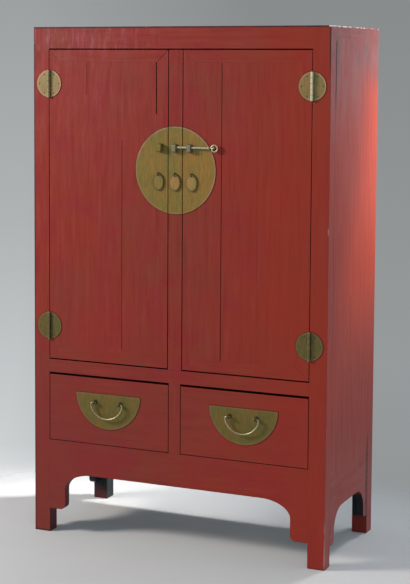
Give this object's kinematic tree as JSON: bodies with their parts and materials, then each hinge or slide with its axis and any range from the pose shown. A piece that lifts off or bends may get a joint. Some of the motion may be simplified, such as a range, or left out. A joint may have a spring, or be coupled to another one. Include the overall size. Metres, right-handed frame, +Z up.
{
  "type": "cabinet",
  "caption": "Upright wooden cupboard with two hinged doors on round brass fittings, two drawers with bail handles, a lift-out centre stile and arched aprons.",
  "frame": {"origin": "on the floor, under the middle of the cabinet's box", "axes": "+Z up, -Y to the front where the doors open, +X to the right as one faces the doors"},
  "size_m": [1.1, 0.5336, 1.8],
  "materials": {
    "lacquered_wood": "aged red lacquer, satin, with worn edges",
    "plain_wood": "bare aged softwood",
    "aged_brass": "aged, olive, dull"
  },
  "bodies": {
    "carcass": {"front_left_post": "lacquered_wood", "front_right_post": "lacquered_wood", "rear_left_post": "lacquered_wood", "rear_right_post": "lacquered_wood", "left_top_rail": "lacquered_wood", "right_top_rail": "lacquered_wood", "left_apron": "lacquered_wood", "right_apron": "lacquered_wood", "left_side_panel": "lacquered_wood", "right_side_panel": "lacquered_wood", "top_front_rail": "lacquered_wood", "top_rear_rail": "lacquered_wood", "top_panel": "lacquered_wood", "top_battens": "plain_wood", "middle_rail": "lacquered_wood", "front_apron": "lacquered_wood", "lower_rear_rail": "lacquered_wood", "middle_rear_rail": "plain_wood", "back_panel": "plain_wood", "cupboard_floor": "plain_wood", "shelf": "plain_wood", "shelf_cleats": "plain_wood", "drawer_runners": "plain_wood", "drawer_muntin": "lacquered_wood", "post_hinge_leaves": "aged_brass", "post_hinge_nails": "aged_brass", "hinge_pins": "aged_brass"},
    "centre_stile": {"centre_stile": "lacquered_wood", "centre_lock_plate": "aged_brass", "centre_lock_staples": "aged_brass"},
    "left_door": {"left_door_stiles": "lacquered_wood", "left_door_rails": "lacquered_wood", "left_door_panel": "lacquered_wood", "left_door_battens": "plain_wood", "left_door_hinge_leaves": "aged_brass", "left_door_hinge_nails": "aged_brass", "left_door_lock_plate": "aged_brass", "left_door_lock_staples": "aged_brass"},
    "left_drawer": {"left_drawer_front": "lacquered_wood", "left_drawer_box": "plain_wood", "left_handle_plate": "aged_brass", "left_handle_posts": "aged_brass"},
    "left_bail": {"left_bail": "aged_brass"},
    "right_door": {"right_door_stiles": "lacquered_wood", "right_door_rails": "lacquered_wood", "right_door_panel": "lacquered_wood", "right_door_battens": "plain_wood", "right_door_hinge_leaves": "aged_brass", "right_door_hinge_nails": "aged_brass", "right_door_lock_plate": "aged_brass", "right_door_lock_staples": "aged_brass"},
    "right_drawer": {"right_drawer_front": "lacquered_wood", "right_drawer_box": "plain_wood", "right_handle_plate": "aged_brass", "right_handle_posts": "aged_brass"},
    "right_bail": {"right_bail": "aged_brass"},
    "left_pendant": {"left_pendant": "aged_brass"},
    "centre_pendant": {"centre_pendant": "aged_brass"},
    "right_pendant": {"right_pendant": "aged_brass"},
    "lock_pin": {"lock_pin": "aged_brass"}
  },
  "joints": [
    {"name": "left_door_hinge", "type": "hinge", "parent": "carcass", "child": "left_door", "pos_m": [-0.48775, -0.2527, 1.1755], "axis": [0, 0, -1], "range_deg": [0, 170]},
    {"name": "right_door_hinge", "type": "hinge", "parent": "carcass", "child": "right_door", "pos_m": [0.48775, -0.2527, 1.1755], "axis": [0, 0, 1], "range_deg": [0, 170]},
    {"name": "centre_stile_lift", "type": "slide", "parent": "carcass", "child": "centre_stile", "axis": [0, 0, 1], "range_m": [0, 0.004]},
    {"name": "lock_pin_slide", "type": "slide", "parent": "right_door", "child": "lock_pin", "axis": [-1, 0, 0], "range_m": [0, 0.0605]},
    {"name": "left_drawer_slide", "type": "slide", "parent": "carcass", "child": "left_drawer", "axis": [0, -1, 0], "range_m": [0, 0.34]},
    {"name": "left_bail_swing", "type": "hinge", "parent": "left_drawer", "child": "left_bail", "pos_m": [-0.25525, -0.2608, 0.489], "axis": [-1, 0, 0], "range_deg": [-8, 185]},
    {"name": "right_drawer_slide", "type": "slide", "parent": "carcass", "child": "right_drawer", "axis": [0, -1, 0], "range_m": [0, 0.34]},
    {"name": "right_bail_swing", "type": "hinge", "parent": "right_drawer", "child": "right_bail", "pos_m": [0.25525, -0.2608, 0.489], "axis": [-1, 0, 0], "range_deg": [-8, 185]},
    {"name": "left_pendant_swing", "type": "hinge", "parent": "left_door", "child": "left_pendant", "pos_m": [-0.062, -0.2529, 1.2995], "axis": [-1, 0, 0], "range_deg": [-2, 80]},
    {"name": "centre_pendant_swing", "type": "hinge", "parent": "centre_stile", "child": "centre_pendant", "pos_m": [0, -0.2529, 1.2995], "axis": [-1, 0, 0], "range_deg": [-2, 80]},
    {"name": "right_pendant_swing", "type": "hinge", "parent": "right_door", "child": "right_pendant", "pos_m": [0.062, -0.2529, 1.2995], "axis": [-1, 0, 0], "range_deg": [-2, 80]}
  ]
}
